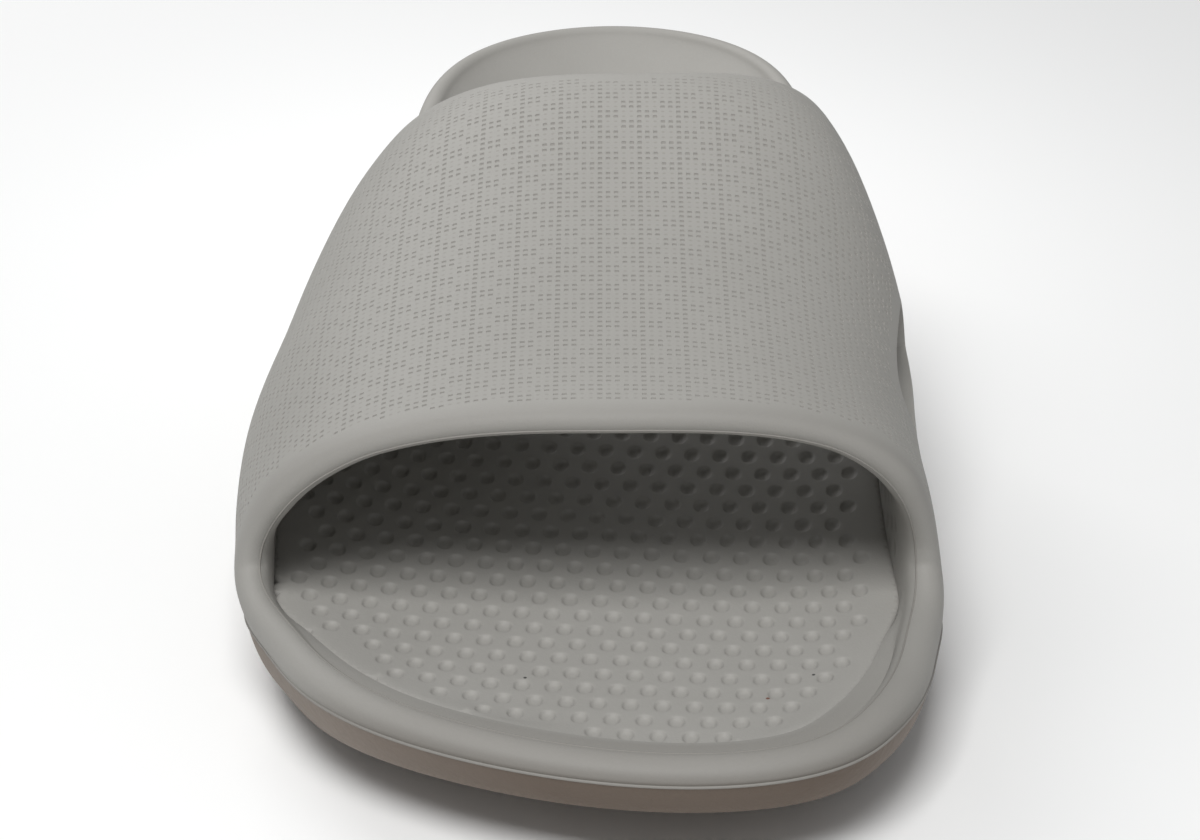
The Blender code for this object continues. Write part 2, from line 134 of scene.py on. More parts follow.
# How far a face of four corners is from a flat rectangle
def skewOf(places, quad):
    sides = [places[quad[(k + 1) % 4]] - places[quad[k]] for k in range(4)]
    sides = [side / max(np.linalg.norm(side), 1e-9) for side in sides]
    skew = sum(abs(float(sides[k] @ sides[k - 1])) for k in range(4))
    one, two = np.cross(sides[0], sides[1]), np.cross(sides[2], sides[3])
    fold = float(one @ two) / max(np.linalg.norm(one) * np.linalg.norm(two), 1e-9)
    return skew + pairing["foldWeight"] * (1 - fold)


def joined(one, two):
    tip = next(k for k in range(3) if one[k] not in two)
    far = next(v for v in two if v not in one)
    return one[tip], one[(tip + 1) % 3], far, one[(tip + 2) % 3]


# Re-pairs closed chains of faces where that makes them squarer
def straighten(partner, skews, near):
    for start in sorted(partner, key=lambda n: -skews[frozenset((n, partner[n]))]):
        steps, closed = [{start: (0.0, None)}], None
        while steps[-1] and len(steps) < pairing["longestChain"] and closed is None:
            ahead = {}
            for one, (total, before) in steps[-1].items():
                two = partner[one]
                for other in near[two]:
                    if other == one or other not in partner or closed is not None:
                        continue
                    change = total + skews[frozenset((two, other))] - skews[frozenset((one, two))]
                    if change < -pairing["leastGain"] and other == start:
                        closed = one
                    elif change < ahead.get(other, (0.0,))[0]:
                        ahead[other] = (change, one)
            steps.append(ahead)
        if closed is None:
            continue
        chain, at = [closed], len(steps) - 2
        while steps[at][chain[-1]][1] is not None:
            chain.append(steps[at][chain[-1]][1])
            at -= 1
        chain.reverse()
        mates = [partner[n] for n in chain]
        if len(set(chain) | set(mates)) == 2 * len(chain):
            for mate, other in zip(mates, chain[1:] + chain[:1]):
                partner[mate], partner[other] = other, mate


# Joins two triangles that were left over, by shifting the pairs on the way between them
def matchRest(partner, near, count):
    for start in range(count):
        if start in partner:
            continue
        came, queue, end = {start: None}, [start], None
        while queue and end is None:
            here = queue.pop(0)
            for other in near[here]:
                if other in (here, partner.get(here)) or other in came or end is not None:
                    continue
                if other not in partner:
                    end = (here, other)
                elif partner[other] not in came:
                    came[partner[other]] = (here, other)
                    queue.append(partner[other])
        while end is not None:
            here, other = end
            end = came[here]
            partner[here], partner[other] = other, here


# Faces of four corners from triangles that Blender has paired for the most part. With a limit, only pairs
# squarer than that are made, and the flats stay as they are.
def pairUp(triangles, paired, places, limit=None):
    beside = {}
    for n, t in enumerate(triangles):
        for a, b in zip(t, t[1:] + t[:1]):
            beside.setdefault(frozenset((a, b)), []).append(n)
    skews = {frozenset(pair): skewOf(places, joined(triangles[pair[0]], triangles[pair[1]]))
             for pair in beside.values() if len(pair) == 2}
    near = {}
    for one, two in beside.values():
        near.setdefault(one, []).append(two)
        near.setdefault(two, []).append(one)
    known = {frozenset(t): n for n, t in enumerate(triangles)}
    partner = {}
    if limit is None:
        for a, b, c, d in (face for face in paired if len(face) == 4):
            for halves in (((a, b, c), (a, c, d)), ((a, b, d), (b, c, d))):
                one, two = (known.get(frozenset(half)) for half in halves)
                if one is not None and two is not None:
                    partner[one], partner[two] = two, one
        for turn in range(pairing["rounds"]):
            matchRest(partner, near, len(triangles))
            straighten(partner, skews, near)
    else:
        for one, two in sorted(map(sorted, skews), key=lambda pair: skews[frozenset(pair)]):
            if skews[frozenset((one, two))] < limit and one not in partner and two not in partner:
                partner[one], partner[two] = two, one
        straighten(partner, skews, near)
    faces = []
    for n, t in enumerate(triangles):
        mate = partner.get(n)
        if mate is None:
            faces.append(t)
        elif n < mate:
            faces.append(joined(t, triangles[mate]))
    return faces


def creaseCorners(mesh, angle, crease):
    shape = bmesh.new()
    shape.from_mesh(mesh)
    layer = shape.edges.layers.float.get("crease_edge") or shape.edges.layers.float.new("crease_edge")
    for edge in shape.edges:
        if len(edge.link_faces) == 2 and edge.calc_face_angle() > math.radians(angle):
            edge[layer] = crease
    shape.to_mesh(mesh)
    shape.free()


# A merged copy of a CAD node, back in quads, with its corners creased
def copyOfNode(nodeName, pieceName, creaseAngle, crease, limit=None):
    loose = bpy.data.objects.new("loose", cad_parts[nodeName].data.copy())
    link(loose)
    editAll(loose)
    bpy.ops.mesh.remove_doubles(threshold=pairing["merge"])
    objectMode()
    places = placesOf(loose)
    triangles = [tuple(p.vertices) for p in loose.data.polygons]
    editAll(loose)
    bpy.ops.mesh.tris_convert_to_quads(face_threshold=math.pi, shape_threshold=math.pi, topology_influence=2)
    objectMode()
    faces = pairUp(triangles, [tuple(p.vertices) for p in loose.data.polygons], places, limit)
    piece = newPiece(pieceName, places, faces)
    bpy.data.objects.remove(loose)
    print(pieceName, "faces:", len(faces), "of them triangles:", sum(len(f) == 3 for f in faces))
    creaseCorners(piece.data, creaseAngle, crease)
    piece.data.shade_smooth()
    return piece


# Marks the loop of edges that passes nearest to a point, so that it can be found after smoothing. At each
# corner of four edges it goes straight on; it ends where the mesh is uneven.
def markLoop(piece, near, along, crease=None):
    shape = bmesh.new()
    shape.from_mesh(piece.data)
    layer = shape.edges.layers.float.get("crease_edge")
    near, along = Vector(near), Vector(along)

    def away(edge):
        middle = (edge.verts[0].co + edge.verts[1].co) / 2
        run = (edge.verts[1].co - edge.verts[0].co).normalized()
        return (middle - near).length + (0 if abs(run.dot(along)) > 0.8 else 1)

    first = min(shape.edges, key=away)
    taken = {first}
    for tip in first.verts:
        edge = first
        while True:
            ahead = [e for e in tip.link_edges
                     if e is not edge and not set(e.link_faces) & set(edge.link_faces)]
            if len(tip.link_edges) != 4 or len(ahead) != 1 or ahead[0] in taken:
                break
            edge = ahead[0]
            tip = edge.other_vert(tip)
            taken.add(edge)
    for edge in taken:
        edge.seam = True
        if crease is not None:
            edge[layer] = crease
    shape.to_mesh(piece.data)
    shape.free()
    return len(taken)


# Closed runs of points along the marked edges
def markedRuns(piece):
    links = {}
    for edge in piece.data.edges:
        if edge.use_seam:
            a, b = edge.vertices
            links.setdefault(a, []).append(b)
            links.setdefault(b, []).append(a)
    runs, seen = [], set()
    for start in sorted(links):
        if start in seen:
            continue
        run, here = [], start
        while here is not None:
            run.append(here)
            seen.add(here)
            here = next((n for n in links[here] if n not in seen), None)
        runs.append(run)
    places = placesOf(piece)
    return [places[run] for run in runs]


upperShape = {
    "smoothing": 2,
    "creaseAngle": 50, "crease": 0.75,
    "innerLineAt": (0.0150, -0.1375, 0.0201),     # on the rim's top at the toe, inner side
    "baseLineAt": (0.0150, -0.1424, 0.0173),      # outer foot of the rim at the toe
    # Where the rolled edges meet the rim: y, height, how far to even out, how often
    "junctions": ((-0.0835, 0.0285, 0.0120, 5), (0.0345, 0.0395, 0.0075, 2)),
    "junctionBand": 0.003, "junctionDrop": 0.004,   # reach along and down, in looking for them
    "smoothAngle": 38,
}


# Evens out the four places where a rolled edge runs into the rim
def smoothJunctions(piece):
    places = placesOf(piece)
    for y, low, reach, times in upperShape["junctions"]:
        chosen = np.zeros(len(places), bool)
        for side in (-1, 1):
            near = places[(np.abs(places[:, 1] - y) < upperShape["junctionBand"]) & (places[:, 0] * side > 0)]
            spot = (np.abs(near[:, 0]).max() * side, y, low)
            above = places[:, 2] > low - upperShape["junctionDrop"]
            chosen |= (np.linalg.norm(places - spot, axis=1) < reach) & above
        selectParts(piece, "VERT", chosen)
        editMode()
        bpy.ops.mesh.vertices_smooth(factor=0.5, repeat=times)
        objectMode()
        print("junction:", int(chosen.sum()), "corners evened out")


upper = copyOfNode("upper", "strapAndRim", upperShape["creaseAngle"], upperShape["crease"])
smoothJunctions(upper)
marked = [markLoop(upper, upperShape["innerLineAt"], (1, 0, 0)),
          markLoop(upper, upperShape["baseLineAt"], (1, 0, 0), 1.0)]
addModifier(upper, "SUBSURF", levels=upperShape["smoothing"], render_levels=upperShape["smoothing"])
upperRuns = markedRuns(upper)
print("upper smoothed:", trianglesOf(upper), "triangles; loops of", marked, "edges")


# The pitted field of the strap. u runs across over the crown, y along the foot.
pitField = {
    "pitch": 0.0014,
    "crownX": 0.00273,            # the pattern's own middle line
    "firstY": -0.0960,
    "lastY": 0.0345,
    "reach": 0.100,               # farthest u either way
    "widest": 112,                # degrees from upright, of the sections that are read
    "beyond": 0.003,              # past firstY and lastY that they are read
    "rayFrom": 0.15,
    "leastRadius": 0.018, "leastFacing": 0.25,   # rays that meet anything else are left out
    "centreZ": (0.020, 0.031),    # of the sections, at firstY and lastY
    "around": 0.002,              # past firstY and lastY that corners count as the strap's
    "skin": 0.0006,               # a corner this close to the sections lies on the outer skin
    "cellReach": 0.62,            # of a pitch, that the cut-away skin must cover round a cell's middle
    "pitStretch": (1.30, 0.85),   # across and along, against a square
    "pitBorder": 0.00040,
    "pitTaper": 0.00012,
    "pitDepth": 0.00016,
}

strapEdges = {                    # in metres from the toe tip
    "toeTip": -0.1426,
    "frontSide": 0.060, "frontCrown": 0.049,
    "rearSide": 0.176, "rearCrown": 0.151,
    "bowPower": 1.2,
    "margin": 0.0009,
    "shoulderZ": (0.0265, 0.0385),  # of the rim beside the strap, front and rear
    "baseZ": (0.0160, 0.0262),      # of the parting line there
    "baseMargin": 0.0016,
}

cutout = {
    "y": (-0.058, -0.018), "z": (0.0305, 0.0485),
    "radius": 0.060, "lift": 0.004,   # of the flank there, from the middle of its section
    "clear": 0.0021, "found": 0.0004,   # no pit nearer, and what counts as no skin there
    "fillTo": 16, "fillFrom": 0.6,      # degrees across that are closed in the sections, past this angle
}


def nearField(y):
    return pitField["firstY"] - pitField["around"] < y < pitField["lastY"] + pitField["around"]


# Between two values that hold at the first and the last row
def share(y, pair):
    t = (y - pitField["firstY"]) / (pitField["lastY"] - pitField["firstY"])
    return pair[0] + (pair[1] - pair[0]) * t


# Outer section of the strap at each row, by rays from outside: radius for each angle from upright
def readSections(surface, rows, angles):
    radii = np.full((len(rows), len(angles)), np.nan)
    for j, y in enumerate(rows):
        centre = Vector((pitField["crownX"], y, share(y, pitField["centreZ"])))
        for k, angle in enumerate(angles):
            out = Vector((math.sin(angle), 0, math.cos(angle)))
            hit = surface.ray_cast(centre + out * pitField["rayFrom"], -out, pitField["rayFrom"])
            if hit[0] is None:
                continue
            place = hit[0]
            height = centre.z + math.cos(angle) * cutout["radius"] + cutout["lift"]
            inCut = (place.x > 0 and cutout["y"][0] < y < cutout["y"][1]
                     and cutout["z"][0] < height < cutout["z"][1])
            radius = pitField["rayFrom"] - hit[3]
            if radius > pitField["leastRadius"] and not inCut and hit[1].dot(out) > pitField["leastFacing"]:
                radii[j, k] = radius
    return radii


def fillSections(radii, angles):
    for j in range(len(radii)):   # the cut-out, across
        good = np.flatnonzero(~np.isnan(radii[j]))
        for a, b in zip(good, good[1:]):
            if 1 < b - a < cutout["fillTo"] and angles[a] > cutout["fillFrom"]:
                radii[j, a:b + 1] = np.interp(np.arange(a, b + 1), (a, b), radii[j, [a, b]])
    for k in range(radii.shape[1]):   # past the edges, along
        good = np.flatnonzero(~np.isnan(radii[:, k]))
        if len(good):
            radii[:, k] = np.interp(np.arange(len(radii)), good, radii[good, k])
    for row in radii:
        good = np.flatnonzero(~np.isnan(row))
        row[:] = np.interp(np.arange(len(row)), good, row[good])
    return radii


class StrapMap:
    def __init__(self, surface):
        widest, beyond = pitField["widest"], pitField["beyond"]
        self.rows = np.arange(pitField["firstY"] - beyond, pitField["lastY"] + beyond, 0.001)
        self.angles = np.radians(np.arange(-widest, widest + 1, 1.0))
        self.radii = fillSections(readSections(surface, self.rows, self.angles), self.angles)
        self.arcs = np.empty_like(self.radii)
        for j in range(len(self.rows)):
            x = self.radii[j] * np.sin(self.angles)
            z = self.radii[j] * np.cos(self.angles)
            run = np.concatenate(((0,), np.cumsum(np.hypot(np.diff(x), np.diff(z)))))
            self.arcs[j] = run - np.interp(0, self.angles, run)

    def between(self, y):
        at = np.clip((y - self.rows[0]) / (self.rows[1] - self.rows[0]), 0, len(self.rows) - 1.001)
        j = int(at)
        t = at - j
        return (self.radii[j] * (1 - t) + self.radii[j + 1] * t,
                self.arcs[j] * (1 - t) + self.arcs[j + 1] * t)

    def place(self, u, y):
        radii, arcs = self.between(y)
        angle = np.interp(u, arcs, self.angles)
        radius = np.interp(u, arcs, radii)
        return np.array((pitField["crownX"] + radius * math.sin(angle), y,
                         share(y, pitField["centreZ"]) + radius * math.cos(angle)))

    def flat(self, place):
        radii, arcs = self.between(place[1])
        dx = place[0] - pitField["crownX"]
        dz = place[2] - share(place[1], pitField["centreZ"])
        angle = math.atan2(dx, dz)
        off = math.hypot(dx, dz) - np.interp(angle, self.angles, radii)
        return np.interp(angle, self.angles, arcs), place[1], off

    def arcTo(self, y, z, side):
        radii, arcs = self.between(y)
        heights = share(y, pitField["centreZ"]) + radii * np.cos(self.angles)
        half = self.angles >= 0 if side > 0 else self.angles <= 0
        order = np.argsort(heights[half])
        return abs(np.interp(z, heights[half][order], arcs[half][order]))


strapMap = StrapMap(surfaceOf(upper))
print("strap sections read")


# Edges that only one of the faces has
def borderOf(faces):
    count = {}
    for face in faces:
        for a, b in zip(face, face[1:] + face[:1]):
            count[frozenset((a, b))] = count.get(frozenset((a, b)), 0) + 1
    return [tuple(edge) for edge, times in count.items() if times == 1]


# Where the strap meets the rim, and how far from the toe its front and rear edges are
def strapAt(u, y):
    shoulder = strapMap.arcTo(y, share(y, strapEdges["shoulderZ"]), 1 if u > 0 else -1)
    bow = math.sin(max(0.0, 1 - abs(u) / shoulder) * math.pi / 2) ** strapEdges["bowPower"]
    front = strapEdges["frontSide"] + (strapEdges["frontCrown"] - strapEdges["frontSide"]) * bow
    rear = strapEdges["rearSide"] + (strapEdges["rearCrown"] - strapEdges["rearSide"]) * bow
    return shoulder, front, rear


# True where the pitted field may lie, a little in from the rolled edges and the parting line
def inField(u, y):
    base = strapMap.arcTo(y, share(y, strapEdges["baseZ"]) + strapEdges["baseMargin"], 1 if u > 0 else -1)
    shoulder, front, rear = strapAt(u, y)
    along = y - strapEdges["toeTip"]
    return abs(u) <= base and front + strapEdges["margin"] < along < rear - strapEdges["margin"]


def overCutout(surface, u, y):
    if u < 0 or not cutout["y"][0] - cutout["lift"] < y < cutout["y"][1] + cutout["lift"]:
        return False
    for turn in range(8):
        du = math.cos(turn * math.pi / 4) * cutout["clear"]
        dy = math.sin(turn * math.pi / 4) * cutout["clear"]
        if surface.find_nearest(Vector(strapMap.place(u + du, y + dy)))[3] > cutout["found"]:
            return True
    return False


# Cuts the outer skin away under the field, lays a square grid there and closes the ring between them with
# triangles, so that it stays one closed mesh.
def layPitField(piece):
    surface = surfaceOf(piece)
    places = placesOf(piece)
    pitch = pitField["pitch"]
    flats = {}
    for i, place in enumerate(places):
        if nearField(place[1]):
            u, y, off = strapMap.flat(place)
            if abs(off) < pitField["skin"]:
                flats[i] = (u, y)
    inside = {i: inField(u, y) and not overCutout(surface, u, y) for i, (u, y) in flats.items()}
    kept, cutAway = [], []
    for face in piece.data.polygons:
        corners = tuple(face.vertices)
        centre = Vector(face.center)
        outward = centre - Vector((pitField["crownX"], centre.y, share(centre.y, pitField["centreZ"])))
        whole = all(inside.get(i, False) for i in corners) and face.normal.dot(outward) > 0
        (cutAway if whole else kept).append(corners)

    plane = BVHTree.FromPolygons([Vector((*flats.get(i, (9, 9)), 0)) for i in range(len(places))], cutAway)

    def covers(u, y):
        return plane.ray_cast(Vector((u, y, 1)), Vector((0, 0, -1)))[0] is not None

    columns = range(-int(pitField["reach"] / pitch), int(pitField["reach"] / pitch) + 1)
    rows = range(int((pitField["lastY"] - pitField["firstY"]) / pitch) + 1)
    cells = []
    for j in rows:
        for i in columns:
            u, y = i * pitch, pitField["firstY"] + j * pitch
            reach = pitch * pitField["cellReach"]
            if all(covers(u + a * reach, y + b * reach) for a in (-1, 0, 1) for b in (-1, 0, 1)):
                cells.append((i, j))

    corner, newPlaces = {}, []    # grid corner: vertex number, place
    for i, j in cells:
        for a, b in ((0, 0), (1, 0), (1, 1), (0, 1)):
            key = (i + a, j + b)
            if key not in corner:
                u, y = (key[0] - 0.5) * pitch, pitField["firstY"] + (key[1] - 0.5) * pitch
                corner[key] = (len(places) + len(newPlaces), (u, y))
                newPlaces.append(surface.find_nearest(Vector(strapMap.place(u, y)))[0])
    cellFaces = [tuple(corner[(i + a, j + b)][0] for a, b in ((0, 0), (1, 0), (1, 1), (0, 1)))
                 for i, j in cells]

    edges = borderOf(cutAway) + borderOf(cellFaces)
    flatOf = dict(flats)
    flatOf.update({number: flat for number, flat in corner.values()})
    used = sorted({v for edge in edges for v in edge})
    order = {v: n for n, v in enumerate(used)}
    made = geometry.delaunay_2d_cdt([Vector(flatOf[v]) for v in used],
                                    [(order[a], order[b]) for a, b in edges], [], 0, 1e-8)
    cellSet = set(cells)
    between = []
    for face in made[2]:
        u, y = (sum(made[0][n][k] for n in face) / 3 for k in (0, 1))
        cell = (round(u / pitch), round((y - pitField["firstY"]) / pitch))
        if cell not in cellSet and covers(u, y):
            between.append(tuple(used[made[3][n][0]] for n in face))
    print("pitted field:", len(cells), "cells,", len(between), "triangles round it")

    faces = kept + cellFaces + between
    made = newPiece("strapAndRimPitted", list(places) + newPlaces, faces)
    grid = made.data.uv_layers.new(name="pitGrid")
    spots = np.zeros((len(made.data.loops), 2))
    start = made.data.polygons[len(kept)].loop_start
    for n, (i, j) in enumerate(cells):
        for c, (a, b) in enumerate(((0, 0), (1, 0), (1, 1), (0, 1))):
            spots[start + n * 4 + c] = (i + a, j + b)
    grid.data.foreach_set("uv", spots.ravel())
    return made, cells, len(kept)


# Rows in pairs: one pair is deep in columns 0 to 2 of every five, the next in columns 3, 4 and 0
def isDeep(cell):
    column, pair = cell[0] % 5, (cell[1] // 2) % 2
    return column in ((0, 1, 2) if pair == 0 else (3, 4, 0))


def sinkPits(piece, cells, first):
    editAll(piece)
    bpy.ops.mesh.normals_make_consistent(inside=False)
    chosen = np.zeros(len(piece.data.polygons), bool)
    chosen[first:first + len(cells)] = [isDeep(cell) for cell in cells]
    selectParts(piece, "FACE", chosen)
    editMode()
    bpy.ops.mesh.inset(use_individual=True, thickness=pitField["pitBorder"], depth=0)
    objectMode()
    places = placesOf(piece)
    across, along = pitField["pitStretch"]
    for face in piece.data.polygons:
        if face.select:
            corners = list(face.vertices)
            middle = places[corners].mean(axis=0)
            places[corners] = middle + (places[corners] - middle) * (across, along, across)
    setPlaces(piece, places)
    editMode()
    bpy.ops.mesh.inset(use_individual=True, thickness=pitField["pitTaper"], depth=-pitField["pitDepth"])
    objectMode()
    return sum(face.select for face in piece.data.polygons)


# Dimpled sheets: bricks in a half-step bond, each a six-sided face whose middle is sunk in steps
dimples = {
    "across": 0.0050,
    "along": 0.00455,
    "border": 0.0005,
    "radius": 0.00198,
    "steps": ((0.00010, 0.00011), (0.00034, 0.00040), (0.00068, 0.00013)),   # how far in, how far down
    "painted": (0.16, 0.37),    # inner and outer radius in the lining's bump and its painted shade, as shares of a brick
}


# Shares that the material reads: the dimpled lining on the strap's inner walls, with painted shade in its
# dimples, and the painted shade on the rim, the rolled edges and the beads
lining = {
    "depth": (0.0025, 0.0034),       # below the outer skin, where the lining starts and is full
    "edge": (0.0035, 0.0060),        # from the strap's rolled edges
    "arcShare": 0.93,                # inner arc against outer arc
    "toeFrom": (0.104, 0.136),       # -y: where the painted shade on the rim starts and is full
    "rimShadeShares": (0.05, 0.34),       # of that painted shade on the rim's top, at the sides and at the toe
    "outerFace": (-0.75, 0.10),      # -z of the normal: where the painted shade on the toe's outer face grows further
    "innerFace": (-0.97, -0.75),     # and where the rim's inner face is as light as its sides
    # Painted shade on the beads, on the strap's rolled front edge, and a little on the rest
    "beadShade": 0.42,
    "rollShade": 0.21,
    "rollFade": (-0.003, 0.001),     # past the strap's front edge
    "topFade": (0.0, 0.012),         # up from where strap and rim meet
    "rearShade": 0.05,
}


def ramp(value, low, high):
    t = min(1.0, max(0.0, (value - low) / (high - low)))
    return t * t * (3 - 2 * t)


# Lays the lining's share and place, and how much painted shade the rim and the rolled edges take
def layShares(piece):
    mesh = piece.data
    liningShare = mesh.attributes.new("liningShare", "FLOAT", "POINT")
    paintedRimShade = mesh.attributes.new("paintedRimShade", "FLOAT", "POINT")
    spots = mesh.attributes.new("liningPlace", "FLOAT_VECTOR", "POINT")
    count = len(mesh.vertices)
    shares, rimShades, flats = np.zeros(count), np.zeros(count), np.zeros((count, 3))
    least, most = lining["rimShadeShares"]
    rollShade = lining["rollShade"]
    normals = np.empty(count * 3)
    mesh.vertices.foreach_get("normal", normals)
    normals = normals.reshape(-1, 3)
    for i, place in enumerate(placesOf(piece)):
        if not nearField(place[1]):
            inToe = ramp(-place[1], *lining["toeFrom"])
            outward = normals[i, :2] @ (place[:2] - (pitField["crownX"], pitField["firstY"]))
            outer = ramp(-normals[i, 2], *lining["outerFace"]) * inToe * (outward > 0)
            inner = ramp(-normals[i, 2], *lining["innerFace"]) * (outward < 0)
            top = least + (most - least) * inToe * (1 - inner)
            inFront = place[1] < pitField["firstY"]
            rimShades[i] = top + (1 - top) * outer if inFront else lining["rearShade"]
            continue
        u, y, off = strapMap.flat(place)
        along = y - strapEdges["toeTip"]
        shoulder, front, rear = strapAt(u, y)
        edge = ramp(min(along - front, rear - along), *lining["edge"])
        shares[i] = ramp(-off, *lining["depth"]) * edge
        flats[i] = (u * lining["arcShare"] / dimples["across"], y / dimples["along"], 0)
        inFront = ramp(front - along, *lining["rollFade"])
        onTop = ramp(shoulder - abs(u), *lining["topFade"])
        roll = (least + (rollShade - least) * onTop) * inFront
        rimShades[i] = max(roll, lining["rearShade"] * (abs(u) > shoulder))
    liningShare.data.foreach_set("value", shares)
    paintedRimShade.data.foreach_set("value", rimShades)
    spots.data.foreach_set("vector", flats.ravel())


pitted, cells, firstCell = layPitField(upper)
pits = sinkPits(pitted, cells, firstCell)
layShares(pitted)
bpy.data.objects.remove(upper)
upper = pitted
upper.name = upper.data.name = "strapAndRim"
pick(upper)
bpy.ops.object.shade_smooth_by_angle(angle=math.radians(upperShape["smoothAngle"]))
print("strap and rim:", pits, "pits,", trianglesOf(upper), "triangles")


# Fine beads left by the mould: inside the rolled edge round the toe opening, and above the sidewall
def makeBead(name, run, radius, sink=0.0):
    path = bpy.data.curves.new(name, "CURVE")
    path.dimensions = "3D"
    spline = path.splines.new("POLY")
    spline.points.add(len(run) - 1)
    for point, place in zip(spline.points, run):
        point.co = (place[0], place[1], place[2] - sink, 1)
    spline.use_cyclic_u = True
    path.bevel_depth = radius
    path.bevel_resolution = 1
    bead = bpy.data.objects.new(name, path)
    link(bead)
    pick(bead)
    bpy.ops.object.convert(target="MESH")
    bead.data.shade_smooth()
    # The beads take a fixed share of the rim's painted shade
    rimShadeAmount = bead.data.attributes.new("paintedRimShade", "FLOAT", "POINT")
    rimShadeAmount.data.foreach_set("value", np.full(len(bead.data.vertices), lining["beadShade"]))
    return bead


beadSizes = {"inner": 0.00018, "base": 0.00026, "baseSink": 0.00014}
baseRun = max(upperRuns, key=lambda run: np.ptp(run[:, 1]))
innerRun = max((run for run in upperRuns if run is not baseRun), key=len)
innerBead = makeBead("rimBead", innerRun, beadSizes["inner"])
baseBead = makeBead("partingBead", baseRun, beadSizes["base"], beadSizes["baseSink"])
print("beads:", len(innerRun), "and", len(baseRun), "points")


# A flat sheet of bricks: every second edge across is dissolved, shifted by one from row to row
def brickSheet(columns, rows):
    bpy.ops.mesh.primitive_grid_add(x_subdivisions=columns * 2, y_subdivisions=rows, size=1)
    sheet = bpy.context.object
    places = placesOf(sheet)
    places[:, 0] *= columns * dimples["across"]
    places[:, 1] *= rows * dimples["along"]
    setPlaces(sheet, places)
    left, low = places[:, 0].min(), places[:, 1].min()
    between = []
    for edge in sheet.data.edges:
        a, b = places[list(edge.vertices)]
        column = round((a[0] - left) / (dimples["across"] / 2))
        row = int((min(a[1], b[1]) - low) / dimples["along"] + 0.5)
        between.append(abs(a[0] - b[0]) < 1e-6 and 0 < column < columns * 2 and column % 2 == (row + 1) % 2)
    selectParts(sheet, "EDGE", between)
    editMode()
    bpy.ops.mesh.dissolve_edges(use_verts=False)
    objectMode()
    return sheet


def dropFaces(sheet, keep):
    selectParts(sheet, "FACE", [not keep(face) for face in sheet.data.polygons])
    editMode()
    bpy.ops.mesh.delete(type="FACE")
    objectMode()


# Sinks a dimple in the middle of each picked face
def sinkDimples(sheet, picked):
    selectParts(sheet, "FACE", [picked(face) for face in sheet.data.polygons])
    editMode()
    bpy.ops.mesh.inset(use_individual=True, thickness=dimples["border"], depth=0)
    objectMode()
    places = placesOf(sheet)
    for face in sheet.data.polygons:
        if face.select:
            corners = list(face.vertices)
            middle = places[corners].mean(axis=0)
            offset = places[corners] - middle
            places[corners] = middle + offset / np.linalg.norm(offset, axis=1)[:, None] * dimples["radius"]
    setPlaces(sheet, places)
    editMode()
    for thickness, depth in dimples["steps"]:
        bpy.ops.mesh.inset(use_individual=True, thickness=thickness, depth=-depth)
    objectMode()


bedShape = {
    "columns": 26, "rows": 66,
    "lowerFaces": (-0.6, 0.5),  # z of the normals below and beside the lower border
    "outlineStep": 0.0004,
    "turn": -5,                 # the rows come forward on the big-toe side, degrees
    "border": 0.0007,           # least distance from a brick to the outline
    "spread": 0.00050,          # past the CAD outline, to close the gap to the rim
    "edgeStep": 3,              # one corner for every third point of the outline
    "bandLine": 0.0012,         # second line of corners inside the outline
    "clear": 0.0006,            # least distance from that line to a brick
    "rayFrom": 0.2, "searchZ": 0.06,   # heights from which the CAD's top is read
    "thickness": 0.0030,
    "creaseAngle": 60, "crease": 0.6,
}


# The outline of a CAD plate, read along its lower border, in order and close together
def outlineOf(node):
    shape = bmesh.new()
    shape.from_mesh(node.data)
    bmesh.ops.remove_doubles(shape, verts=shape.verts, dist=pairing["merge"])
    links = {}
    under, beside = bedShape["lowerFaces"]
    for edge in shape.edges:
        tilts = sorted(face.normal.z for face in edge.link_faces)
        if len(tilts) == 2 and tilts[0] < under and abs(tilts[1]) < beside:
            a, b = edge.verts
            links.setdefault(a, []).append(b)
            links.setdefault(b, []).append(a)
    here = min(links, key=lambda v: v.co.y)
    run, seen = [], set()
    while here is not None:
        run.append(tuple(here.co))
        seen.add(here)
        here = next((v for v in links[here] if v not in seen), None)
    shape.free()
    run = np.array(run + run[:1])
    lengths = np.concatenate(((0,), np.cumsum(np.linalg.norm(np.diff(run, axis=0), axis=1))))
    at = np.arange(0, lengths[-1], bedShape["outlineStep"])
    return np.column_stack([np.interp(at, lengths, run[:, c]) for c in range(3)])


